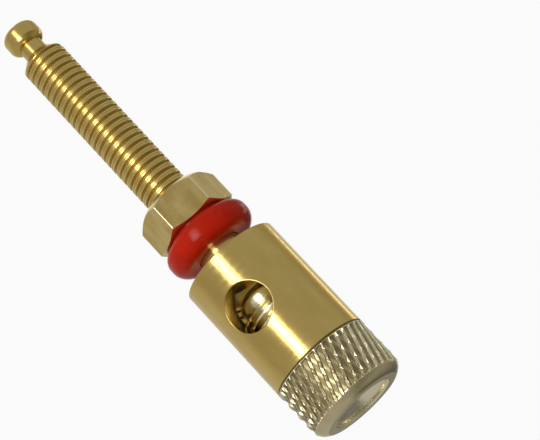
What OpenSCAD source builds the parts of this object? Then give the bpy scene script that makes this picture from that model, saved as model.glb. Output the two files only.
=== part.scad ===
// Panel binding post with a cross-drilled barrel, a hollow clamp knob for a
// 4 mm plug, an insulating bushing and a hex nut.
// The origin lies on the post's axis, in the rear face of the bushing's
// flange, where the panel's front face seats. +Z runs to the clamp knob.

/* [Barrel] */
// Diameter of the barrel
barrel_d = 13; // [11.5:0.1:15]
// Length of the barrel
barrel_l = 16; // [14.5:0.1:20]
// Chamfer on both ends of the barrel
barrel_edge = 0.15; // [0.1:0.05:0.4]

/* [Wire hole] */
// Diameter of the cross hole that takes the wire
wire_hole_d = 6; // [4:0.1:7]
// Height of its centre above the barrel's rear face
wire_hole_z = 7.2; // [6:0.1:8]
// Width of the broken edge round each mouth of the cross hole
wire_hole_edge = 0.12; // [0.05:0.01:0.3]

/* [Stud] */
// Diameter of the stud over its M6 thread
stud_d = 5.9; // [5.8:0.01:5.95]
// Distance from the barrel's rear face to the end of the thread
stud_l = 36; // [28:0.5:45]
// Length of the plain neck behind the barrel
stud_neck_l = 2.3; // [1.5:0.1:4]
// Diameter of the plain neck
stud_neck_d = 5.7; // [5.2:0.1:5.8]
// Pitch of the stud's thread
thread_pitch = 1; // [0.8:0.1:1.25]
// Depth of the thread's grooves
thread_depth = 0.35; // [0.3:0.05:0.6]
// Width of the thread's crests
thread_crest = 0.55; // [0.2:0.05:0.6]

/* [Solder turret] */
// Diameter of the turret's head
turret_head_d = 4.8; // [4:0.1:5.2]
// Length of the turret's head, down to the waist
turret_head_l = 2.9; // [2.4:0.1:4]
// Radius that rounds the head's rim towards the tip
turret_tip_round = 0.9; // [0.3:0.1:1]
// Radius that rounds the head's rim towards the waist
turret_rear_round = 1.1; // [0.9:0.1:1.3]
// Diameter of the waist that the wire wraps round
turret_waist_d = 3.1; // [2.4:0.1:3.5]
// Length of the waist
turret_waist_l = 2.2; // [1.5:0.1:4]

/* [Clamp knob] */
// Diameter of the knob over its knurl
knob_d = 13; // [11.5:0.1:15]
// Length of the knob's head outside the barrel
knob_l = 7.3; // [5.5:0.1:10]
// Number of knurl grooves of each hand round the knob
knurl_starts = 36; // [30:1:48]
// Depth of the knurl's grooves
knurl_depth = 0.3; // [0.2:0.05:0.4]
// Slant of the knurl's grooves to the axis, in degrees
knurl_slant = 20; // [10:1:35]
// Size of the bulged bevel round the knob's outer end
knob_bevel = 1.3; // [0.6:0.1:1.8]
// Diameter over the M8 thread of the clamp screw
screw_d = 7.9; // [7.8:0.01:7.95]
// Length of the clamp screw's threaded part
screw_l = 9.1; // [8:0.1:10]
// Diameter of the smooth nose that bears on the wire
nose_d = 6.7; // [5.5:0.1:6.8]
// Length of the smooth nose
nose_l = 2.2; // [1.4:0.1:2.3]

/* [Plug socket] */
// Diameter of the bore for the 4 mm plug
socket_d = 4.1; // [4.05:0.01:4.2]
// Depth of the plug bore below the knob's end face
socket_depth = 15.5; // [12:0.5:16]
// Diameter of the mouth in the knob's end face
mouth_d = 7.8; // [6.5:0.1:8.6]
// Depth of the mouth's straight part
mouth_depth = 0.5; // [0.3:0.1:1.5]
// Angle between the lead-in and the axis, in degrees
mouth_angle = 60; // [30:5:70]

/* [Insulating bushing] */
// Diameter of the bushing's flange
flange_d = 11.9; // [10.5:0.1:14]
// Thickness of the flange
flange_t = 3.4; // [3.2:0.1:6]
// Radius that rounds the flange's rim towards the barrel
flange_round = 1.7; // [0.8:0.1:1.8]
// Radius that rounds the flange's rim towards the panel
flange_rear_round = 1.3; // [0.6:0.1:1.3]
// Diameter of the spigot that centres the bushing in the panel
spigot_d = 9; // [7:0.1:9.2]
// Length of the spigot
spigot_l = 0.35; // [0.3:0.05:1.5]
// Bore of the bushing
bushing_bore_d = 6.1; // [6.05:0.01:6.2]
// Play between the bushing and the barrel while the nut is loose
bushing_play = 2; // [0.5:0.1:3]

/* [Hex nut] */
// Width across the nut's flats
nut_af = 9.8; // [9.5:0.1:11]
// Height of the nut
nut_h = 4.9; // [3:0.1:6]
// Turn of the nut about the stud, in degrees
nut_turn = 35; // [0:1:59]

/* [Hidden] */
$fn = 96;

brass = [0.72, 0.60, 0.32];
red_plastic = [0.62, 0.05, 0.03];

thread_play = 0.05;
barrel_z = flange_t + bushing_play;
barrel_top_z = barrel_z + barrel_l;
thread_end_z = barrel_z - stud_l;
turret_z = thread_end_z - turret_waist_l;
tip_z = turret_z - turret_head_l;
knob_top_z = barrel_top_z + knob_l;
screw_end_z = barrel_top_z - screw_l;
nose_end_z = screw_end_z - nose_l;
seat_edge = 0.2;
knurl_top_z = knob_top_z - knob_bevel;
bore_floor_z = nose_end_z - 0.7;

// Points of a quarter round of radius r about (cx, cz), from angle a0 to a1.
function arc(cx, cz, r, a0, a1, steps = 6) =
    [for (i = [0:steps]) let (a = a0 + (a1 - a0) * i / steps) [cx + r * cos(a), cz + r * sin(a)]];

// One V groove after another from z0 up to z1, each ring one pitch long.
function groove_points(z0, z1) =
    let (count = floor((z1 - z0) / thread_pitch), crest_r = stud_d / 2)
    [for (i = [0:count - 1], k = [0:2])
        [k == 1 ? crest_r - thread_depth : crest_r,
         z0 + i * thread_pitch + k * (thread_pitch - thread_crest) / 2]];

// The turned outline of barrel, neck, thread and solder turret.
module post_outline() {
    thread_chamfer = 0.9;
    head_r = turret_head_d / 2;
    waist_r = turret_waist_d / 2;
    tip_x = head_r - turret_tip_round;
    rear_x = head_r - turret_rear_round;
    rear_turn = acos((waist_r - rear_x) / turret_rear_round);
    rear_z = turret_z - turret_rear_round * sin(rear_turn);
    polygon(concat(
        [[0, tip_z]],
        arc(tip_x, tip_z + turret_tip_round, turret_tip_round, -90, 0),
        arc(rear_x, rear_z, turret_rear_round, 0, rear_turn),
        [[waist_r, thread_end_z - thread_chamfer / 2],
         [stud_d / 2 - thread_chamfer, thread_end_z - thread_chamfer / 2],
         [stud_d / 2, thread_end_z + thread_chamfer / 2]],
        groove_points(thread_end_z + thread_chamfer / 2 + thread_crest, barrel_z - stud_neck_l),
        [[stud_d / 2, barrel_z - stud_neck_l],
         [stud_neck_d / 2, barrel_z - stud_neck_l],
         [stud_neck_d / 2, barrel_z],
         [barrel_d / 2 - barrel_edge, barrel_z],
         [barrel_d / 2, barrel_z + barrel_edge],
         [barrel_d / 2, barrel_top_z - barrel_edge],
         [barrel_d / 2 - barrel_edge, barrel_top_z],
         [0, barrel_top_z]]
    ));
}

// The tapped hole down the barrel, with the drill's cone at its floor.
module clamp_bore() {
    bore_r = screw_d / 2 + thread_play;
    drill_cone = 1;
    translate([0, 0, bore_floor_z])
        cylinder(r = bore_r, h = barrel_top_z - bore_floor_z + 1);
    translate([0, 0, bore_floor_z - drill_cone])
        cylinder(r1 = bore_r - 1.6 * drill_cone, r2 = bore_r, h = drill_cone);
}

// The cross hole, which runs through both walls along Y.
module wire_hole() {
    translate([0, 0, barrel_z + wire_hole_z])
        rotate([90, 0, 0])
            cylinder(d = wire_hole_d, h = barrel_d + 2, center = true);
}

// The broken edge where the cross hole meets the barrel's round face.
module wire_hole_rims() {
    difference() {
        translate([0, 0, barrel_z + wire_hole_z])
            rotate([90, 0, 0])
                cylinder(d = wire_hole_d + 2 * wire_hole_edge, h = barrel_d + 2, center = true);
        translate([0, 0, barrel_z])
            cylinder(d = barrel_d - 2 * wire_hole_edge, h = barrel_l);
    }
}

module post_body() {
    color(brass)
        difference() {
            rotate_extrude() post_outline();
            clamp_bore();
            wire_hole();
            wire_hole_rims();
        }
}

// The turned outline of the knob's head, clamp screw and nose.
module knob_outline() {
    screw_edge = 0.5;
    nose_round = 0.9;
    bulge_turn = 20;
    bulge_r = knob_bevel / (cos(bulge_turn) - sin(bulge_turn));
    head_r = knob_d / 2;
    root_r = head_r - knurl_depth - 0.05;
    screw_r = screw_d / 2;
    nose_r = nose_d / 2;
    polygon(concat(
        [[0, nose_end_z]],
        arc(nose_r - nose_round, nose_end_z + nose_round, nose_round, -90, 0),
        [[nose_r, screw_end_z],
         [screw_r - screw_edge, screw_end_z],
         [screw_r, screw_end_z + screw_edge],
         [screw_r, barrel_top_z],
         [head_r - seat_edge, barrel_top_z],
         [head_r, barrel_top_z + seat_edge],
         [root_r, barrel_top_z + seat_edge],
         [root_r, knurl_top_z],
         [head_r, knurl_top_z]],
        arc(head_r - bulge_r * cos(bulge_turn), knob_top_z - bulge_r * cos(bulge_turn), bulge_r,
            bulge_turn, 90 - bulge_turn, 8),
        [[0, knob_top_z]]
    ));
}

// The plug bore, its straight mouth and the lead-in between them.
module plug_socket() {
    mouth_edge = 0.15;
    mouth_floor_z = knob_top_z - mouth_depth;
    lead_in = (mouth_d - socket_d) / 2 / tan(mouth_angle);
    translate([0, 0, knob_top_z - socket_depth])
        cylinder(d = socket_d, h = socket_depth);
    translate([0, 0, mouth_floor_z - lead_in])
        cylinder(d1 = socket_d, d2 = mouth_d, h = lead_in);
    translate([0, 0, mouth_floor_z])
        cylinder(d = mouth_d, h = mouth_depth + 1);
    translate([0, 0, knob_top_z - mouth_edge])
        cylinder(d1 = mouth_d, d2 = mouth_d + 4 * mouth_edge, h = 2 * mouth_edge);
}

// V grooves of one hand, which wind round the head from end to end of the band.
module knurl_hand(hand, low_z, high_z) {
    crest_r = knob_d / 2 - 0.02;
    height = high_z - low_z;
    turn = height * tan(knurl_slant) / crest_r * 180 / PI;
    translate([0, 0, low_z])
        linear_extrude(height = height, twist = hand * turn, slices = 3)
            polygon([for (i = [0:2 * knurl_starts - 1])
                let (r = crest_r - (i % 2) * knurl_depth, a = 180 * i / knurl_starts)
                    [r * cos(a), r * sin(a)]]);
}

// The ring of diamonds where the grooves of both hands cross.
module knurl_ring() {
    sunk = 0.1;
    low_z = barrel_top_z + seat_edge - sunk;
    high_z = knurl_top_z + sunk;
    difference() {
        intersection() {
            knurl_hand(1, low_z, high_z);
            knurl_hand(-1, low_z, high_z);
        }
        translate([0, 0, low_z - 1])
            cylinder(r = knob_d / 2 - knurl_depth - 0.5, h = high_z - low_z + 2);
    }
}

module clamp_knob() {
    color(brass)
        difference() {
            union() {
                rotate_extrude() knob_outline();
                knurl_ring();
            }
            plug_socket();
        }
}

module insulating_bushing() {
    rim_r = flange_d / 2;
    front_x = rim_r - flange_round;
    rear_x = rim_r - flange_rear_round;
    color(red_plastic)
        rotate_extrude()
            polygon(concat(
                [[bushing_bore_d / 2, -spigot_l],
                 [spigot_d / 2 - 0.1, -spigot_l],
                 [spigot_d / 2, -spigot_l + 0.1],
                 [spigot_d / 2, 0]],
                arc(rear_x, flange_rear_round, flange_rear_round, -90, 0),
                arc(front_x, flange_t - flange_round, flange_round, 0, 90),
                [[bushing_bore_d / 2, flange_t]]
            ));
}

// A hexagon prism whose corners are turned off, more at the rear than in front.
module hex_nut() {
    corner_r = nut_af / 2 / cos(30);
    front_r = nut_af / 2 - 0.15;
    rear_r = nut_af / 2 - 0.4;
    front_drop = (corner_r - front_r) * tan(28);
    rear_drop = (corner_r - rear_r) * tan(40);
    bore_r = stud_d / 2 + thread_play;
    countersink = 0.25;
    color(brass)
        translate([0, 0, -spigot_l - nut_h])
            difference() {
                intersection() {
                    rotate([0, 0, nut_turn])
                        cylinder(r = corner_r, h = nut_h, $fn = 6);
                    rotate_extrude()
                        polygon([
                            [0, 0],
                            [rear_r, 0],
                            [corner_r, rear_drop],
                            [corner_r, nut_h - front_drop],
                            [front_r, nut_h],
                            [0, nut_h]
                        ]);
                }
                rotate_extrude()
                    polygon([
                        [0, -1],
                        [bore_r + countersink + 1, -1],
                        [bore_r, countersink],
                        [bore_r, nut_h - countersink],
                        [bore_r + countersink + 1, nut_h + 1],
                        [0, nut_h + 1]
                    ]);
            }
}

post_body();
clamp_knob();
insulating_bushing();
hex_nut();
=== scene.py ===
import math

import bpy
import numpy as np
from mathutils import Matrix, Vector


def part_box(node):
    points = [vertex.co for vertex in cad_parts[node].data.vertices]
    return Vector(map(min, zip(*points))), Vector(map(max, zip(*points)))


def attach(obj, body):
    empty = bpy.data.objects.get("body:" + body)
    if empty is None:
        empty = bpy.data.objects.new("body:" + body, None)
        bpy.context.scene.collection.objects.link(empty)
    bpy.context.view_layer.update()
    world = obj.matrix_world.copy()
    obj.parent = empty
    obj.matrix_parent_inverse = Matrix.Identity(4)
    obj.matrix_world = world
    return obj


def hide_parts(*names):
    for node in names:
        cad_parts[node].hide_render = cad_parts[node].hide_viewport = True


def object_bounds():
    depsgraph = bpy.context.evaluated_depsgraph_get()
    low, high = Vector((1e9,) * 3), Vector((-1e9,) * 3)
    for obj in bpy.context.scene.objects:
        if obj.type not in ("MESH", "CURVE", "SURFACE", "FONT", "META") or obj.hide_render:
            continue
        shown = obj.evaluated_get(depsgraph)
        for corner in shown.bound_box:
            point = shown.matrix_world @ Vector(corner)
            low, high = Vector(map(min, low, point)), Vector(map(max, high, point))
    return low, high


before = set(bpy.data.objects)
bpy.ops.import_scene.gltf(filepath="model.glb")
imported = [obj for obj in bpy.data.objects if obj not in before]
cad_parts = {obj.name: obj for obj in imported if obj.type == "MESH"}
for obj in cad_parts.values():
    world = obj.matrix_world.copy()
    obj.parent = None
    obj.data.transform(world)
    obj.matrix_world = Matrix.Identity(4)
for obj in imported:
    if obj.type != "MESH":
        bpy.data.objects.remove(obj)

MM = 0.001
cad_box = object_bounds()


# Heights along the post's axis and radii, in millimetres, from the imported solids

def span_mm(node):
    low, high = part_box(node)
    return low.z / MM, high.z / MM


def radius_mm(node):
    """Half the smaller of a node's two widths across the axis."""
    low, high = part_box(node)
    return min(high.x - low.x, high.y - low.y) / 2 / MM


POST_TIP_Z, BARREL_TOP_Z = span_mm("post_body")
NOSE_END_Z, KNOB_TOP_Z = span_mm("clamp_knob")
SPIGOT_Z, FLANGE_TOP_Z = span_mm("insulating_bushing")
NUT_LOW_Z, NUT_TOP_Z = span_mm("hex_nut")
BARREL_R = radius_mm("post_body")
KNOB_R = radius_mm("clamp_knob")
FLANGE_R = radius_mm("insulating_bushing")

BARREL_L = 16.0
BARREL_Z = BARREL_TOP_Z - BARREL_L
HOLE_R = 3.0
HOLE_Z = BARREL_Z + 7.2
BORE_R = 4.0
BORE_EDGE = 0.2
BORE_FLOOR_Z = NOSE_END_Z - 0.7
DRILL_TIP_L = 1.0
DRILL_TIP_R = BORE_R - 1.6
STUD_R = 2.95
STUD_ROOT_R = 2.6
NECK_R = 2.9
THREAD_PITCH = 1.0
THREAD_TOP_Z = BARREL_Z - 2.3
THREAD_END_Z = BARREL_Z - 36.0
TURRET_Z = THREAD_END_Z - 2.2
SCREW_R = 3.95
SCREW_ROOT_R = 3.36
SCREW_END_Z = BARREL_TOP_Z - 9.1
NOSE_R = 3.35
SOCKET_R = 2.05
SOCKET_L = 15.5
MOUTH_R = 3.9
MOUTH_L = 0.5
MOUTH_CONE = math.radians(60)

# Tones for the gold materials: below the plain tone a painted shade, above it a painted highlight

PAINTED_SHADE_TONE = 0.0
PLAIN_TONE = 0.5
PAINTED_HIGHLIGHT_TONE = 1.0


# Mesh building: grids of points with their own normals, welded into one mesh

class Skin:
    """Grids of points with their normals and their tones, made into one welded mesh."""

    def __init__(self):
        self.quads = []

    def grid(self, points, normals, closed=False, tone=None):
        """Adds a grid of rows and columns. A closed grid joins its last column to its first."""
        points = np.asarray(points, float)
        normals = np.asarray(normals, float)
        if tone is None:
            tone = np.full(points.shape[:2], PLAIN_TONE)
        data = np.concatenate([points, normals, tone[:, :, None]], axis=2)
        if closed:
            data = np.concatenate([data, data[:, :1]], axis=1)
        quads = np.stack([data[:-1, :-1], data[:-1, 1:], data[1:, 1:], data[1:, :-1]], axis=2)
        quads = quads.reshape(-1, 4, 7)
        place = quads[:, :, :3]
        across = np.cross(place[:, 2] - place[:, 0], place[:, 3] - place[:, 1])
        turned = np.einsum("ij,ij->i", across, quads[:, :, 3:6].sum(axis=1)) < 0
        quads[turned] = quads[turned][:, ::-1]
        self.quads.append(quads)

    def make(self, name, material):
        quads = np.concatenate(self.quads)
        lengths = np.linalg.norm(quads[:, :, 3:6], axis=2, keepdims=True)
        normals = quads[:, :, 3:6] / np.maximum(lengths, 1e-12)
        keys = np.round(quads[:, :, :3].reshape(-1, 3), 4)
        unique, index = np.unique(keys, axis=0, return_inverse=True)
        index = index.reshape(-1, 4)
        faces = []
        loop_normals = []
        loop_tones = []
        corner_tones = quads[:, :, 6].tolist()
        for quad, corner_normals, tones in zip(index.tolist(), normals, corner_tones):
            kept = [k for k in range(4) if quad[k] != quad[k - 1]]
            if len(kept) < 3 or len({quad[k] for k in kept}) < len(kept):
                continue
            faces.append([quad[k] for k in kept])
            loop_normals.extend(corner_normals[k] for k in kept)
            loop_tones.extend(tones[k] for k in kept)
        mesh = bpy.data.meshes.new(name)
        mesh.from_pydata((unique * MM).tolist(), [], faces)
        mesh.polygons.foreach_set("use_smooth", [True] * len(mesh.polygons))
        # The tone carries the gold's painted shade and painted highlight.
        mesh.attributes.new("tone", "FLOAT", "CORNER").data.foreach_set("value", loop_tones)
        mesh.normals_split_custom_set([tuple(n) for n in loop_normals])
        mesh.update()
        mesh.materials.append(material)
        piece = bpy.data.objects.new(name, mesh)
        bpy.context.scene.collection.objects.link(piece)
        return piece


def around(count):
    return np.arange(count) * 2 * math.pi / count


def arc(centre_r, centre_z, radius, start, end, steps=8):
    """Points of an arc in the half plane through the axis, with angles in degrees."""
    return [
        (centre_r + radius * math.cos(math.radians(a)), centre_z + radius * math.sin(math.radians(a)))
        for a in np.linspace(start, end, steps + 1)
    ]


def turn(skin, runs, columns=192, tone=PLAIN_TONE):
    """Turns runs of (radius, height) points round the axis. Each run is smooth, the solid on its left."""
    theta = around(columns)
    for run in runs:
        run = np.array(run, float)
        tangent = np.gradient(run, axis=0)
        slope = np.stack([tangent[:, 1], -tangent[:, 0]], axis=1)
        radius = run[:, 0][:, None]
        height = np.repeat(run[:, 1][:, None], columns, axis=1)
        points = np.stack([radius * np.cos(theta), radius * np.sin(theta), height], axis=2)
        out = slope[:, 0][:, None]
        up = np.repeat(slope[:, 1][:, None], columns, axis=1)
        normals = np.stack([out * np.cos(theta), out * np.sin(theta), up], axis=2)
        skin.grid(points, normals, closed=True, tone=np.full(height.shape, tone))


def height_field(skin, radius_at, theta, height, closed=True, inward=False, tone_at=None):
    """A surface whose radius is radius_at(theta, height), with normals from its slopes."""
    step = 0.004
    radius = radius_at(theta, height)
    along = (radius_at(theta, height + step) - radius_at(theta, height - step)) / (2 * step)
    turn_step = step / 4
    ahead = radius_at(theta + turn_step, height)
    behind = radius_at(theta - turn_step, height)
    about = (ahead - behind) / (2 * turn_step)
    cos, sin = np.cos(theta), np.sin(theta)
    points = np.stack([radius * cos, radius * sin, height], axis=2)
    side = about / radius
    normals = np.stack([cos + side * sin, sin - side * cos, -along], axis=2)
    if inward:
        normals = -normals
    tone = None if tone_at is None else tone_at(theta, height)
    skin.grid(points, normals, closed=closed, tone=tone)


def ridge(phase, groove_share):
    """A thread's height over one turn of phase: 1 on its flat crest, 0 at the bottom of its groove."""
    away = np.clip(np.abs((phase % 1.0) * 2 - 1) / groove_share, 0, 1)
    straight = 0.4
    return away * away * (3 - 2 * away) * (1 - straight) + away * straight


def screw_thread(skin, crest_r, root_r, share, span, ends, leads, columns=96, ground_tone=0.25):
    """A right-handed thread whose rows follow the helix.

    span holds its low and high ends, and it tapers to the two radii in ends over the two leads.
    """
    low_z, high_z = span
    low_r, high_r = ends
    lead_low, lead_high = leads
    pitch = THREAD_PITCH
    rows_a_turn = 16
    turns = int(math.ceil((high_z - low_z) / pitch)) + 1
    theta = around(columns)
    row = np.arange(turns * rows_a_turn + 1)
    start = low_z - pitch + row[:, None] * pitch / rows_a_turn
    height = start + theta[None, :] * pitch / (2 * math.pi)
    theta_grid = np.repeat(theta[None, :], len(row), axis=0)

    def radius_at(angle, z):
        phase = z / pitch - angle / (2 * math.pi)
        cut = root_r + (crest_r - root_r) * ridge(phase, share)
        low_limit = low_r + (crest_r - low_r) * np.clip((z - low_z) / lead_low, 0, None)
        high_limit = high_r + (crest_r - high_r) * np.clip((high_z - z) / lead_high, 0, None)
        return np.minimum(cut, np.minimum(low_limit, high_limit))

    def clamp_grid(angle, z):
        return radius_at(angle, np.clip(z, low_z, high_z))

    def tone_at(angle, z):
        """The ground tone on the crests, with painted shade in the groove and a painted highlight along
        the crest's two edges.
        """
        edge_place, edge_width, edge_glint_gain, groove_shade_loss = 0.08, 0.16, 0.6, 0.2
        away = np.abs(((z / pitch - angle / (2 * math.pi)) % 1.0) * 2 - 1) - share
        edge = np.exp(-((away - edge_place) / edge_width) ** 2)
        groove_shade = np.clip(-away / share, 0, 1)
        return np.clip(ground_tone - groove_shade_loss * groove_shade + edge_glint_gain * edge, 0, 1)

    clipped = np.clip(height, low_z, high_z)
    closing = np.concatenate([clipped, np.clip(clipped[:, :1] + pitch, low_z, high_z)], axis=1)
    angles = np.concatenate([theta_grid, np.full((len(row), 1), 2 * math.pi)], axis=1)
    height_field(skin, clamp_grid, angles, closing, closed=False, tone_at=tone_at)


# A round wall with a round hole through it along Y, in two halves

def pierced_half(wall_r, hole_r, low_z, high_z, side, rings, samples=192):
    """Grid angles and heights of half a round wall round its hole, on the -Y or +Y side."""
    corner_angles = [
        math.atan2(z - HOLE_Z, s * wall_r * math.pi / 2)
        for s in (1, -1)
        for z in (low_z, high_z)
    ]
    angles = np.sort(np.concatenate([around(samples) - math.pi, corner_angles]))
    hole_turn = np.arcsin(hole_r * np.cos(angles) / wall_r)
    hole_z = HOLE_Z + hole_r * np.sin(angles)
    tiny = 1e-9
    crowding = 1.3
    reach_u = (wall_r * math.pi / 2) / np.maximum(np.abs(np.cos(angles)), tiny)
    room_z = np.where(np.sin(angles) > 0, high_z - HOLE_Z, HOLE_Z - low_z)
    reach_z = room_z / np.maximum(np.abs(np.sin(angles)), tiny)
    reach = np.minimum(reach_u, reach_z)
    edge_turn = reach * np.cos(angles) / wall_r
    edge_z = HOLE_Z + reach * np.sin(angles)
    t = np.linspace(0, 1, rings + 1)[:, None] ** crowding
    psi = hole_turn[None, :] * (1 - t) + edge_turn[None, :] * t
    height = hole_z[None, :] * (1 - t) + edge_z[None, :] * t
    theta = side * (math.pi / 2) - side * psi
    return theta, height, angles


def hole_wall(skin, side, outer_r, inner_r, edge, angles):
    """The rounded rim and the wall of the cross hole on one side of the barrel."""
    cos, sin = np.cos(angles), np.sin(angles)
    rows_p = []
    rows_n = []
    for beta in np.radians(np.linspace(0, 90, 7)):
        r = HOLE_R + edge * (1 - math.sin(beta))
        x = r * cos
        y = np.sqrt(outer_r ** 2 - x ** 2) - edge * (1 - math.cos(beta))
        rows_p.append(np.stack([x, side * y, HOLE_Z + r * sin], axis=1))
        skin_x = x / outer_r
        skin_y = side * np.sqrt(1 - skin_x ** 2)
        n = np.stack([
            math.cos(beta) * skin_x - math.sin(beta) * cos,
            math.cos(beta) * skin_y,
            -math.sin(beta) * sin,
        ], axis=1)
        rows_n.append(n)
    x = HOLE_R * cos
    start = np.sqrt(outer_r ** 2 - x ** 2) - edge
    end = np.sqrt(inner_r ** 2 - x ** 2)
    wall_p = []
    wall_n = []
    for t in np.linspace(0, 1, 9):
        y = start * (1 - t) + end * t
        wall_p.append(np.stack([x, side * y, HOLE_Z + HOLE_R * sin], axis=1))
        wall_n.append(np.stack([-cos, np.zeros_like(cos), -sin], axis=1))
    skin.grid(rows_p, rows_n, closed=True)
    skin.grid(wall_p, wall_n, closed=True)


# Materials

def node_material(name):
    material = bpy.data.materials.new(name)
    material.use_nodes = True
    tree = material.node_tree
    surface = tree.nodes["Principled BSDF"]
    return material, tree, surface


def link(tree, source, socket_out, target, socket_in):
    tree.links.new(source.outputs[socket_out], target.inputs[socket_in])


def mapped(tree, scale):
    """Object coordinates in millimetres, stretched by scale."""
    place = tree.nodes.new("ShaderNodeTexCoord")
    mapping = tree.nodes.new("ShaderNodeMapping")
    mapping.inputs["Scale"].default_value = [s / MM for s in scale]
    link(tree, place, "Object", mapping, "Vector")
    return mapping


def noise(tree, scale, detail, vector):
    texture = tree.nodes.new("ShaderNodeTexNoise")
    texture.inputs["Scale"].default_value = scale
    texture.inputs["Detail"].default_value = detail
    link(tree, vector, "Vector", texture, "Vector")
    return texture


def ramp(tree, source, stops, socket="Fac"):
    node = tree.nodes.new("ShaderNodeValToRGB")
    elements = node.color_ramp.elements
    while len(elements) < len(stops):
        elements.new(0.5)
    for element, (position, colour) in zip(elements, stops):
        element.position = position
        element.color = (*colour, 1.0)
    link(tree, source, socket, node, "Fac")
    return node


def scaled(tree, source, low, high, socket="Fac", from_low=0.3, from_high=0.7):
    node = tree.nodes.new("ShaderNodeMapRange")
    node.inputs["From Min"].default_value = from_low
    node.inputs["From Max"].default_value = from_high
    node.inputs["To Min"].default_value = low
    node.inputs["To Max"].default_value = high
    link(tree, source, socket, node, "Value")
    return node


def bump(tree, source, strength, distance_mm, socket="Fac", below=None):
    node = tree.nodes.new("ShaderNodeBump")
    node.inputs["Strength"].default_value = strength
    node.inputs["Distance"].default_value = distance_mm * MM
    link(tree, source, socket, node, "Height")
    if below is not None:
        link(tree, below, "Normal", node, "Normal")
    return node


def calc(tree, operation, first, second):
    """A math node on two inputs, each a number or a pair of a node and its output socket."""
    node = tree.nodes.new("ShaderNodeMath")
    node.operation = operation
    for place, value in enumerate((first, second)):
        if isinstance(value, tuple):
            link(tree, *value, node, place)
        else:
            node.inputs[place].default_value = value
    return node


def mixed(tree, factor, factor_socket, first, second):
    """Mixes two colours, each a plain colour or an output socket."""
    node = tree.nodes.new("ShaderNodeMix")
    node.data_type = "RGBA"
    link(tree, factor, factor_socket, node, 0)
    for socket, colour in ((6, first), (7, second)):
        if isinstance(colour, tuple):
            node.inputs[socket].default_value = (*colour, 1.0)
        else:
            tree.links.new(colour, node.inputs[socket])
    return node


def turned_place(tree, across, along):
    """Each point's radius and height in millimetres, stretched, so that a noise of them runs in rings."""
    place = tree.nodes.new("ShaderNodeTexCoord")
    flat = tree.nodes.new("ShaderNodeVectorMath")
    flat.operation = "MULTIPLY"
    flat.inputs[1].default_value = (across / MM, across / MM, 0)
    reach = tree.nodes.new("ShaderNodeVectorMath")
    reach.operation = "LENGTH"
    upright = tree.nodes.new("ShaderNodeVectorMath")
    upright.operation = "MULTIPLY"
    upright.inputs[1].default_value = (0, 0, along / MM)
    both = tree.nodes.new("ShaderNodeVectorMath")
    both.operation = "ADD"
    sideways = tree.nodes.new("ShaderNodeCombineXYZ")
    link(tree, place, "Object", flat, 0)
    link(tree, flat, "Vector", reach, 0)
    link(tree, reach, "Value", sideways, "X")
    link(tree, place, "Object", upright, 0)
    link(tree, sideways, "Vector", both, 0)
    link(tree, upright, "Vector", both, 1)
    return both


def gold_plate(name, colours, rough, rough_groove, rings, line_depth_mm, grain_mm):
    """Gold plate with turning rings and a fine grain, rougher in its grooves, with painted shade in its
    grooves and a painted highlight on its edges.

    colours are the plain metal's darker and lighter tone, the grooves' painted shade colour and the
    edges' painted highlight colour.
    """
    dark, light, groove_shade_colour, edge_highlight_colour = colours
    material, tree, surface = node_material(name)
    surface.inputs["Metallic"].default_value = 1.0
    lines = noise(tree, 1.0, 3.0, turned_place(tree, rings, rings))
    cloud = noise(tree, 0.6, 4.0, mapped(tree, (1.0, 1.0, 0.4)))
    plain = ramp(tree, cloud, [(0.35, dark), (0.7, light)])
    tone = tree.nodes.new("ShaderNodeAttribute")
    tone.attribute_name = "tone"
    # Below the plain tone the colour goes to the painted groove shade, above it to the painted edge
    # highlight.
    groove_shade = scaled(tree, tone, 0.0, 1.0, "Fac", PAINTED_SHADE_TONE, PLAIN_TONE)
    glint_share = scaled(tree, tone, 0.0, 1.0, "Fac", PLAIN_TONE, PAINTED_HIGHLIGHT_TONE)
    low = mixed(tree, groove_shade, "Result", groove_shade_colour, plain.outputs["Color"])
    high = mixed(tree, glint_share, "Result", low.outputs[2], edge_highlight_colour)
    link(tree, high, 2, surface, "Base Color")
    spread = 0.05
    smear = scaled(tree, lines, rough - spread, rough + spread)
    dull = scaled(tree, tone, rough_groove - rough, 0.0, "Fac", PAINTED_SHADE_TONE, PLAIN_TONE)
    gloss = calc(tree, "ADD", (smear, "Result"), (dull, "Result"))
    link(tree, gloss, 0, surface, "Roughness")
    speck = noise(tree, 5.0, 2.0, mapped(tree, (1.0, 1.0, 1.0)))
    grain = bump(tree, speck, 0.5, grain_mm)
    fine = bump(tree, lines, 0.4, line_depth_mm, below=grain)
    link(tree, fine, "Normal", surface, "Normal")
    return material


# Each: the plain metal's two tones, the painted groove shade colour and the painted edge highlight
# colour.
post_gold = gold_plate(
    "post_gold_plate",
    ((0.68, 0.49, 0.15), (0.74, 0.545, 0.18), (0.52, 0.35, 0.06), (0.95, 0.80, 0.40)),
    rough=0.20, rough_groove=0.55, rings=7.0, line_depth_mm=0.003, grain_mm=0.009)
knob_gold = gold_plate(
    "knob_gold_plate",
    ((0.66, 0.57, 0.33), (0.74, 0.65, 0.40), (0.26, 0.21, 0.10), (1.0, 0.96, 0.74)),
    rough=0.22, rough_groove=0.50, rings=3.0, line_depth_mm=0.02, grain_mm=0.04)
nut_gold = gold_plate(
    "nut_gold_plate",
    ((0.58, 0.41, 0.13), (0.78, 0.60, 0.24), (0.30, 0.17, 0.03), (0.98, 0.88, 0.56)),
    rough=0.22, rough_groove=0.30, rings=4.0, line_depth_mm=0.008, grain_mm=0.02)


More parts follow.
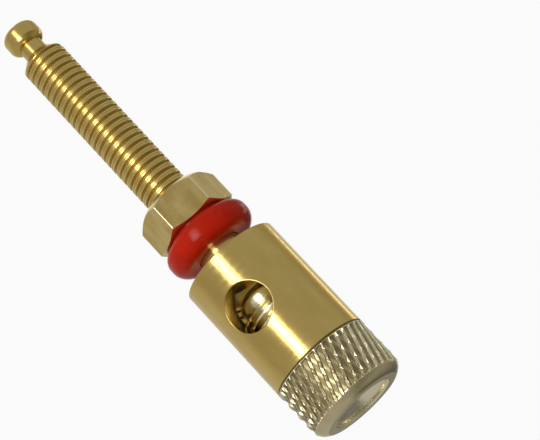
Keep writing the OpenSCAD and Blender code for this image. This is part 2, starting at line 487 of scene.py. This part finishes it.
def red_plastic(name):
    """Glossy moulded plastic, a little wavy and lightly rubbed."""
    material, tree, surface = node_material(name)
    surface.inputs["Specular IOR Level"].default_value = 0.15
    cloud = noise(tree, 0.5, 3.0, mapped(tree, (1.0, 1.0, 1.0)))
    tone = ramp(tree, cloud, [(0.3, (0.41, 0.010, 0.001)), (0.7, (0.49, 0.015, 0.002))])
    link(tree, tone, "Color", surface, "Base Color")
    rub = noise(tree, 2.2, 5.0, mapped(tree, (1.0, 1.0, 2.5)))
    gloss = scaled(tree, rub, 0.10, 0.24)
    link(tree, gloss, "Result", surface, "Roughness")
    swell = bump(tree, cloud, 0.3, 0.08)
    pits = bump(tree, rub, 0.25, 0.006, below=swell)
    link(tree, pits, "Normal", surface, "Normal")
    return material


red_gloss = red_plastic("red_gloss_plastic")


# The post: barrel, neck, threaded stud and solder turret, turned in one piece

def make_post():
    skin = Skin()
    edge = 0.15
    rim = 0.18
    low, high = BARREL_Z + edge, BARREL_TOP_Z - edge
    inner_top = BARREL_TOP_Z - BORE_EDGE
    thread_cut = 0.28
    thread_share = 0.8
    hole_fade = 0.5
    end_fade = 0.4
    for side in (-1, 1):
        theta, height, angles = pierced_half(BARREL_R, HOLE_R + rim, low, high, side, 18)
        cos, sin = np.cos(theta), np.sin(theta)
        points = np.stack([BARREL_R * cos, BARREL_R * sin, height], axis=2)
        skin.grid(points, np.stack([cos, sin, 0 * cos], axis=2), closed=True)
        hole_wall(skin, side, BARREL_R, BORE_R, rim, angles)
        theta, height, _ = pierced_half(BORE_R, HOLE_R, BORE_FLOOR_Z, inner_top, side, 48)

        def tapped(angle, z):
            across = BORE_R * np.arcsin(np.clip(np.cos(angle), -1, 1))
            away = np.hypot(across, z - HOLE_Z) - HOLE_R
            fade = np.clip(away / hole_fade, 0, 1)
            fade = fade * np.clip((z - BORE_FLOOR_Z) / end_fade, 0, 1)
            fade = fade * np.clip((inner_top - z) / end_fade, 0, 1)
            phase = z / THREAD_PITCH - angle / (2 * math.pi) + 0.5
            return BORE_R + thread_cut * ridge(phase, thread_share) * fade

        height_field(skin, tapped, theta, height, closed=True, inward=True)

    drill_tip_z = BORE_FLOOR_Z - DRILL_TIP_L
    turn(skin, [
        [(NECK_R, BARREL_Z), (BARREL_R - edge, BARREL_Z)],
        arc(BARREL_R - edge, BARREL_Z + edge, edge, -90, 0),
        arc(BARREL_R - edge, BARREL_TOP_Z - edge, edge, 0, 90),
        [(BARREL_R - edge, BARREL_TOP_Z), (BORE_R + BORE_EDGE, BARREL_TOP_Z)],
        [(BORE_R + BORE_EDGE, BARREL_TOP_Z), (BORE_R, inner_top)],
        [(BORE_R, BORE_FLOOR_Z), (DRILL_TIP_R, drill_tip_z)],
        [(DRILL_TIP_R, drill_tip_z), (0, drill_tip_z)],
    ])

    head_r = 2.4
    waist_r = 1.55
    tip_round = 0.9
    rear_round = 1.1
    rear_x = head_r - rear_round
    rear_turn = math.acos((waist_r - rear_x) / rear_round)
    rear_z = TURRET_Z - rear_round * math.sin(rear_turn)
    lead = 0.45
    foot_r = 2.05
    foot_round = 0.2
    foot_z = THREAD_END_Z - lead
    turn(skin, [
        [(0, POST_TIP_Z), (head_r - tip_round, POST_TIP_Z)],
        arc(head_r - tip_round, POST_TIP_Z + tip_round, tip_round, -90, 0, 12),
        [(head_r, POST_TIP_Z + tip_round), (head_r, rear_z)],
        arc(rear_x, rear_z, rear_round, 0, math.degrees(rear_turn), 12),
        [(waist_r, TURRET_Z), (waist_r, foot_z - foot_round)],
        arc(waist_r + foot_round, foot_z - foot_round, foot_round, 180, 90),
        [(waist_r + foot_round, foot_z), (foot_r, foot_z)],
    ], columns=96)
    # The stud's crests are painted darker, part way to the groove shade colour, with painted shade in the
    # grooves and a painted highlight on the crest edges.
    screw_thread(
        skin, STUD_R, STUD_ROOT_R, share=0.5,
        span=(foot_z, THREAD_TOP_Z), ends=(foot_r, NECK_R), leads=(0.9, 0.25))
    turn(skin, [[(NECK_R, THREAD_TOP_Z), (NECK_R, BARREL_Z)]], columns=96)
    return skin.make("turned_post", post_gold)


# The clamp knob: knurled head, plug socket, clamp screw and nose

KNURL_STARTS = 36
KNURL_DEPTH = 0.34
KNURL_HELIX = math.radians(20)
LEFT_SHARE_LOW = 0.22
LEFT_SHARE_HIGH = 0.75
LEFT_DEEPEST = math.radians(-47)


def groove(phase):
    """A cut groove's depth, 1 on its wide flat bottom and 0 on the thin ridge between two grooves."""
    flank_share = 0.55
    from_ridge = 1 - np.abs((phase % 1.0) - 0.5) * 2
    flank = np.clip(from_ridge / flank_share, 0, 1)
    return flank * flank * (3 - 2 * flank)


def make_knob():
    skin = Skin()
    seat = 0.2
    bevel = 1.3
    bulge_turn = 20
    bulge_r = bevel / (math.cos(math.radians(bulge_turn)) - math.sin(math.radians(bulge_turn)))
    centre_drop = bulge_r * math.cos(math.radians(bulge_turn))
    centre_r, centre_z = KNOB_R - centre_drop, KNOB_TOP_Z - centre_drop
    band_low, band_high = BARREL_TOP_Z + seat, KNOB_TOP_Z - bevel
    fade_l = 0.3
    start_l = 0.15
    plain_above = 0.1
    per_mm = KNURL_STARTS / (2 * math.pi * KNOB_R)

    def knurl_cuts(angle, z):
        """How deep the grooves of each hand cut. The left-hand ones are light on one side."""
        run = z * math.tan(KNURL_HELIX) * per_mm
        around_it = angle * KNURL_STARTS / (2 * math.pi)
        side = 0.5 + 0.5 * np.cos(angle - LEFT_DEEPEST)
        left_share = LEFT_SHARE_LOW + (LEFT_SHARE_HIGH - LEFT_SHARE_LOW) * side
        start_fade = np.clip((z - band_low) / start_l, 0, 1)
        return groove(around_it - run) * start_fade, groove(around_it + run) * left_share * start_fade

    def knurled(angle, z):
        right, left = knurl_cuts(angle, z)
        return KNOB_R - KNURL_DEPTH * np.maximum(right, left)

    def knurl_shade_and_glint(angle, z):
        right, left = knurl_cuts(angle, z)
        # A painted highlight on the ridges and painted shade in the grooves.
        cuts = [0.0, 0.3, 0.6, 1.0]
        tones = [PAINTED_HIGHLIGHT_TONE, 0.9, 0.35, 0.22]
        shown = np.interp(np.maximum(right, left), cuts, tones)
        # Painted shade, darker still where two deep grooves cross
        crossing_shade = np.clip(right * left * 2 - 0.6, 0, 1) * 0.5
        knurl = np.clip(shown - crossing_shade, PAINTED_SHADE_TONE, PAINTED_HIGHLIGHT_TONE)
        return np.where(z > band_high + plain_above, PLAIN_TONE, knurl)

    columns = 720
    rows = 100
    heights = np.linspace(band_low, band_high + fade_l, rows + 1)
    theta = np.repeat(around(columns)[None, :], rows + 1, axis=0)
    level = np.repeat(heights[:, None], columns, axis=1)

    def limited(angle, z):
        over = np.clip(z, band_high, KNOB_TOP_Z) - centre_z
        bulged = np.where(z > band_high, centre_r + np.sqrt(bulge_r ** 2 - over ** 2), KNOB_R)
        return np.minimum(knurled(angle, z), bulged)

    height_field(skin, limited, theta, level, closed=True, tone_at=knurl_shade_and_glint)

    start = math.degrees(math.asin((band_high + fade_l - centre_z) / bulge_r))
    mouth_edge = 0.15
    socket_edge = 0.1
    screw_top_r = SCREW_R - 0.25
    mouth_floor = KNOB_TOP_Z - MOUTH_L
    cone_end = mouth_floor - (MOUTH_R - SOCKET_R) / math.tan(MOUTH_CONE)
    floor_z = KNOB_TOP_Z - SOCKET_L
    turn(skin, [
        arc(centre_r, centre_z, bulge_r, start, 90 - bulge_turn, 14),
        [(KNOB_R - bevel, KNOB_TOP_Z), (MOUTH_R + mouth_edge, KNOB_TOP_Z)],
        [(SOCKET_R, cone_end - socket_edge), (SOCKET_R, floor_z)],
        [(SOCKET_R, floor_z), (0, floor_z)],
    ], columns=240)
    # The seat ring where the knob meets the barrel is painted in the groove's shade colour.
    turn(skin, [
        [(screw_top_r, BARREL_TOP_Z), (KNOB_R - seat, BARREL_TOP_Z)],
        arc(KNOB_R - seat, BARREL_TOP_Z + seat, seat, -90, 0),
    ], columns=240, tone=PAINTED_SHADE_TONE)
    # The mouth and its cone are painted lighter, part way to the painted highlight colour.
    turn(skin, [
        [(MOUTH_R + mouth_edge, KNOB_TOP_Z), (MOUTH_R, KNOB_TOP_Z - mouth_edge)],
        [(MOUTH_R, KNOB_TOP_Z - mouth_edge), (MOUTH_R, mouth_floor)],
        [(MOUTH_R, mouth_floor), (SOCKET_R + socket_edge, cone_end + socket_edge)],
        [(SOCKET_R + socket_edge, cone_end + socket_edge), (SOCKET_R, cone_end - socket_edge)],
    ], columns=240, tone=0.85)

    nose_round = 1.5
    lip = 0.25
    lip_round = 0.1
    lip_r = NOSE_R - lip_round
    lip_z = SCREW_END_Z - lip
    thread_z = SCREW_END_Z + 0.1
    groove_r = 3.1
    # The nose and its lip are painted lighter, part way to the painted highlight colour.
    turn(skin, [
        [(0, NOSE_END_Z), (NOSE_R - nose_round, NOSE_END_Z)],
        arc(NOSE_R - nose_round, NOSE_END_Z + nose_round, nose_round, -90, 0, 16),
        [(NOSE_R, NOSE_END_Z + nose_round), (NOSE_R, lip_z)],
        arc(lip_r, lip_z, lip_round, 0, 90, 4),
        [(lip_r, lip_z + lip_round), (groove_r, lip_z + lip_round)],
        [(groove_r, lip_z + lip_round), (groove_r, thread_z)],
    ], columns=144, tone=0.75)
    # The clamp screw's crests are painted lighter, with painted shade in its grooves and a painted
    # highlight on its crest edges.
    screw_thread(
        skin, SCREW_R, SCREW_ROOT_R, share=0.8,
        span=(thread_z, BARREL_TOP_Z), ends=(groove_r, screw_top_r), leads=(0.5, 0.3),
        columns=120, ground_tone=0.7)
    return skin.make("knurled_knob", knob_gold)


# The insulating bushing

def make_bushing():
    skin = Skin()
    bore_r = 2.97
    bore_edge = 0.04
    spigot_r = 4.5
    spigot_edge = 0.1
    rear_round = 1.3
    front_round = 1.7
    rear_x = FLANGE_R - rear_round
    front_x = FLANGE_R - front_round
    turn(skin, [
        [(bore_r, SPIGOT_Z), (spigot_r - spigot_edge, SPIGOT_Z)],
        arc(spigot_r - spigot_edge, SPIGOT_Z + spigot_edge, spigot_edge, -90, 0, 4),
        [(spigot_r, SPIGOT_Z + spigot_edge), (spigot_r, 0)],
        [(spigot_r, 0), (rear_x, 0)],
        arc(rear_x, rear_round, rear_round, -90, 0, 20),
        [(FLANGE_R, rear_round), (FLANGE_R, FLANGE_TOP_Z - front_round)],
        arc(front_x, FLANGE_TOP_Z - front_round, front_round, 0, 90, 20),
        [(front_x, FLANGE_TOP_Z), (bore_r + bore_edge, FLANGE_TOP_Z)],
        arc(bore_r + bore_edge, FLANGE_TOP_Z - bore_edge, bore_edge, 90, 180, 4),
        [(bore_r, FLANGE_TOP_Z - bore_edge), (bore_r, SPIGOT_Z)],
    ], columns=160)
    return skin.make("moulded_bushing", red_gloss)


# The hex nut: flats with turned-off corners and a plain, countersunk bore

NUT_TURN = math.radians(35)
NUT_HALF_AF = 4.9


def make_nut():
    skin = Skin()
    corner_round = 0.22
    chamfer_swell = 0.45
    # The chamfers are painted lighter, part way to the painted highlight colour.
    chamfer_tone = 0.8
    countersink_r = 3.25
    countersink_l = 0.25
    bore_r = 3.0
    rear_r, rear_slope = NUT_HALF_AF - 0.4, math.tan(math.radians(40))
    front_r, front_slope = NUT_HALF_AF - 0.15, math.tan(math.radians(28))
    half = (NUT_HALF_AF - corner_round) * math.tan(math.radians(30))
    centre = (NUT_HALF_AF - corner_round) / math.cos(math.radians(30))
    ring = []
    corner_glint = []
    for side in range(6):
        facing = NUT_TURN + math.radians(30 + 60 * side)
        for across in np.linspace(-half, half, 13):
            x = NUT_HALF_AF * math.cos(facing) - across * math.sin(facing)
            y = NUT_HALF_AF * math.sin(facing) + across * math.cos(facing)
            ring.append((x, y, facing))
            corner_glint.append(PLAIN_TONE)
        corner = facing + math.radians(30)
        for bend in np.radians(np.linspace(-24, 24, 5)):
            direction = corner + bend
            x = centre * math.cos(corner) + corner_round * math.cos(direction)
            y = centre * math.sin(corner) + corner_round * math.sin(direction)
            ring.append((x, y, direction))
            # The rounded corners carry the painted highlight.
            corner_glint.append(PAINTED_HIGHLIGHT_TONE)
    ring = np.array(ring)
    corner_glint = np.array(corner_glint)
    reach = np.hypot(ring[:, 0], ring[:, 1])
    out_x, out_y = ring[:, 0] / reach, ring[:, 1] / reach
    rear_drop = (reach - rear_r) * rear_slope
    front_drop = (reach - front_r) * front_slope
    side_n = np.stack([np.cos(ring[:, 2]), np.sin(ring[:, 2]), 0 * reach], axis=1)
    walls = [NUT_LOW_Z + rear_drop, NUT_TOP_Z - front_drop]
    rows = [np.stack([ring[:, 0], ring[:, 1], z], axis=1) for z in walls]
    skin.grid(rows, [side_n] * len(rows), closed=True, tone=np.array([corner_glint, corner_glint]))
    for z_face, z_wall, up, turned_r, slope in (
        (NUT_LOW_Z, walls[0], -1, rear_r, rear_slope),
        (NUT_TOP_Z, walls[1], 1, front_r, front_slope),
    ):
        cone_p = []
        cone_n = []
        for t in np.linspace(0, 1, 9):
            swell = chamfer_swell * t * (1 - t)
            r = turned_r * (1 - t) + reach * t
            z = z_face * (1 - t) + z_wall * t + up * swell * np.abs(z_wall - z_face)
            tilt = slope * (1 - chamfer_swell * (1 - 2 * t))
            cone_p.append(np.stack([r * out_x, r * out_y, z], axis=1))
            cone_n.append(np.stack([out_x * tilt, out_y * tilt, np.full_like(reach, up)], axis=1))
        skin.grid(cone_p, cone_n, closed=True, tone=np.full((len(cone_p), len(reach)), chamfer_tone))
        face_p = []
        face_n = []
        for r in np.linspace(countersink_r, turned_r, 4):
            face_p.append(np.stack([r * out_x, r * out_y, np.full_like(reach, z_face)], axis=1))
            face_n.append(np.stack([0 * reach, 0 * reach, np.full_like(reach, up)], axis=1))
        skin.grid(face_p, face_n, closed=True)
        sink_p = []
        sink_n = []
        for r, z in ((countersink_r, z_face), (bore_r, z_face - up * countersink_l)):
            sink_p.append(np.stack([r * out_x, r * out_y, np.full_like(reach, z)], axis=1))
            sink_n.append(np.stack([-out_x, -out_y, np.full_like(reach, up)], axis=1))
        skin.grid(sink_p, sink_n, closed=True)
    bore_ends = (NUT_TOP_Z - countersink_l, NUT_LOW_Z + countersink_l)
    bore_x, bore_y = bore_r * out_x, bore_r * out_y
    bore_p = [np.stack([bore_x, bore_y, np.full_like(reach, z)], axis=1) for z in bore_ends]
    bore_n = [np.stack([-out_x, -out_y, 0 * reach], axis=1)] * 2
    skin.grid(bore_p, bore_n, closed=True)
    return skin.make("milled_nut", nut_gold)


post = make_post()
knob = make_knob()
bushing = make_bushing()
nut = make_nut()

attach(post, "post")
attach(knob, "knob")
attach(bushing, "bushing")
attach(nut, "nut")
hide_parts("post_body")
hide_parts("clamp_knob")
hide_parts("insulating_bushing")
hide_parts("hex_nut")


# The camera, at the photograph's viewing angle

TARGET = Vector((-6.487, 1.987, 5.011)) * MM
CAMERA_AZIMUTH = math.radians(-107.73)
CAMERA_ELEVATION = math.radians(17.38)
CAMERA_ROLL = math.radians(-136.57)
CAMERA_DISTANCE = 224.9 * MM

back = Vector((
    math.cos(CAMERA_AZIMUTH) * math.cos(CAMERA_ELEVATION),
    math.sin(CAMERA_AZIMUTH) * math.cos(CAMERA_ELEVATION),
    math.sin(CAMERA_ELEVATION),
))
level_right = Vector((0, 0, 1)).cross(back).normalized()
level_up = back.cross(level_right)
camera_up = level_up * math.cos(CAMERA_ROLL) + level_right * math.sin(CAMERA_ROLL)
camera_right = camera_up.cross(back)
camera_data = bpy.data.cameras.new("photo_camera")
camera_data.lens = 126.67
camera_data.sensor_width = 36.0
camera_data.clip_start = 0.01
camera_data.clip_end = 20.0
camera = bpy.data.objects.new("photo_camera", camera_data)
turned = Matrix((camera_right, camera_up, back)).transposed().to_4x4()
camera.matrix_world = Matrix.Translation(TARGET + back * CAMERA_DISTANCE) @ turned
bpy.context.scene.collection.objects.link(camera)
bpy.context.scene.camera = camera


# The floor, the world and the lamps

def white_where_seen(tree, plain, socket, share):
    """Mixes a share of white in for camera, glossy and transmission rays."""
    path = tree.nodes.new("ShaderNodeLightPath")
    white = tree.nodes.new("ShaderNodeEmission")
    white.inputs["Strength"].default_value = 1.0
    mirrored = calc(tree, "MAXIMUM", (path, "Is Camera Ray"), (path, "Is Glossy Ray"))
    seen = calc(tree, "MAXIMUM", (mirrored, 0), (path, "Is Transmission Ray"))
    part = calc(tree, "MULTIPLY", (seen, 0), share)
    mix = tree.nodes.new("ShaderNodeMixShader")
    link(tree, part, 0, mix, 0)
    link(tree, plain, socket, mix, 1)
    link(tree, white, 0, mix, 2)
    return mix


def make_floor():
    material = bpy.data.materials.new("pale_floor")
    material.use_nodes = True
    tree = material.node_tree
    tree.nodes.clear()
    matt = tree.nodes.new("ShaderNodeBsdfDiffuse")
    matt.inputs["Color"].default_value = (0.92, 0.92, 0.92, 1)
    white_share = 0.94
    shown = white_where_seen(tree, matt, 0, white_share)
    out = tree.nodes.new("ShaderNodeOutputMaterial")
    link(tree, shown, 0, out, "Surface")
    size = 3.0
    gap = 0.02 * MM
    mesh = bpy.data.meshes.new("floor")
    z = cad_box[0].z - gap
    corners = [(-size, -size, z), (size, -size, z), (size, size, z), (-size, size, z)]
    mesh.from_pydata(corners, [], [(0, 1, 2, 3)])
    mesh.materials.append(material)
    floor = bpy.data.objects.new("floor", mesh)
    # Only the camera and clear things see the floor. The metal mirrors the studio instead, so the
    # glossy switch in the floor's material has no effect.
    floor.visible_glossy = False
    floor.visible_shadow = False
    floor.visible_diffuse = False
    bpy.context.scene.collection.objects.link(floor)


def make_world():
    world = bpy.data.worlds.new("studio")
    bpy.context.scene.world = world
    world.use_nodes = True
    tree = world.node_tree
    tree.nodes.clear()
    place = tree.nodes.new("ShaderNodeTexCoord")
    axes = tree.nodes.new("ShaderNodeSeparateXYZ")
    link(tree, place, "Generated", axes, "Vector")
    full_turn = 2 * math.pi
    angle = calc(tree, "ARCTAN2", (axes, "Y"), (axes, "X"))
    away = calc(tree, "SUBTRACT", (angle, 0), CAMERA_AZIMUTH - math.pi)
    whole = calc(tree, "WRAP", (away, 0), full_turn)
    whole.inputs[2].default_value = 0.0
    part = calc(tree, "DIVIDE", (whole, 0), full_turn)

    # Levels round the horizon, from behind the part at 0, past the camera at 0.5, to behind it again
    sides = ramp(tree, part, [
        (0.0, (0.62, 0.62, 0.63)),
        (0.12, (0.52, 0.52, 0.50)),
        (0.17, (0.36, 0.33, 0.22)),
        (0.23, (0.44, 0.45, 0.46)),
        (0.40, (0.42, 0.42, 0.41)),
        (0.62, (0.43, 0.42, 0.40)),
        (0.72, (0.41, 0.39, 0.36)),
        (0.78, (0.54, 0.54, 0.54)),
        (1.0, (0.62, 0.62, 0.63)),
    ], socket=0)
    ceiling = ramp(tree, part, [
        (0.0, (0.24, 0.23, 0.21)),
        (0.04, (0.12, 0.11, 0.10)),
        (0.20, (0.35, 0.34, 0.32)),
        (0.36, (0.20, 0.19, 0.17)),
        (0.52, (0.34, 0.33, 0.31)),
        (0.70, (0.46, 0.45, 0.43)),
        (0.96, (0.46, 0.45, 0.42)),
        (1.0, (0.24, 0.23, 0.21)),
    ], socket=0)
    height = scaled(tree, axes, 0.0, 1.0, "Z", -0.02, 0.12)
    levels = mixed(tree, height, "Result", sides.outputs["Color"], ceiling.outputs["Color"])
    light = tree.nodes.new("ShaderNodeBackground")
    link(tree, levels, 2, light, "Color")

    # White to the camera and through clear things. Metal mirrors white only from a sector behind
    # the part and below the horizon, and the studio from everywhere else.
    behind = ramp(tree, part, [
        (0.0, (1, 1, 1)),
        (0.045, (1, 1, 1)),
        (0.065, (0, 0, 0)),
        (0.935, (0, 0, 0)),
        (0.955, (1, 1, 1)),
    ], socket=0)
    below = scaled(tree, axes, 1.0, 0.0, "Z", -0.04, -0.02)
    backdrop = calc(tree, "MULTIPLY", (behind, "Color"), (below, "Result"))
    path = tree.nodes.new("ShaderNodeLightPath")
    mirrored = calc(tree, "MULTIPLY", (path, "Is Glossy Ray"), (backdrop, 0))
    seen = calc(tree, "MAXIMUM", (path, "Is Camera Ray"), (path, "Is Transmission Ray"))
    shown = calc(tree, "MAXIMUM", (seen, 0), (mirrored, 0))
    white = tree.nodes.new("ShaderNodeBackground")
    white.inputs["Color"].default_value = (1, 1, 1, 1)
    mix = tree.nodes.new("ShaderNodeMixShader")
    link(tree, shown, 0, mix, 0)
    link(tree, light, 0, mix, 1)
    link(tree, white, 0, mix, 2)
    out = tree.nodes.new("ShaderNodeOutputWorld")
    link(tree, mix, 0, out, "Surface")


def strip_lamp(name, turn_deg, width, length, level, rise, tint=(1, 1, 1)):
    """An upright strip light, turn_deg round the post from the camera's side, shining at level."""
    distance = 0.5
    angle = CAMERA_AZIMUTH + math.radians(turn_deg)
    data = bpy.data.lights.new(name, "AREA")
    data.shape = "RECTANGLE"
    data.size = width
    data.size_y = length
    data.energy = level * math.pi * width * length
    data.color = tint
    lamp = bpy.data.objects.new(name, data)
    lamp.location = (distance * math.cos(angle), distance * math.sin(angle), rise)
    facing = Vector((math.cos(angle), math.sin(angle), 0))
    lamp.rotation_euler = facing.to_track_quat("Z", "Y").to_euler()
    bpy.context.scene.collection.objects.link(lamp)


make_floor()
make_world()
strip_lamp("key_strip", 16.5, width=0.17, length=0.42, level=6.0, rise=0.04)
strip_lamp("stud_strip", 16.5, width=0.17, length=0.28, level=2.2, rise=-0.31)
strip_lamp("rim_strip", -137.0, width=0.06, length=0.3, level=1.6, rise=0.0, tint=(1.0, 0.97, 0.8))

bpy.context.scene.view_settings.view_transform = "Standard"
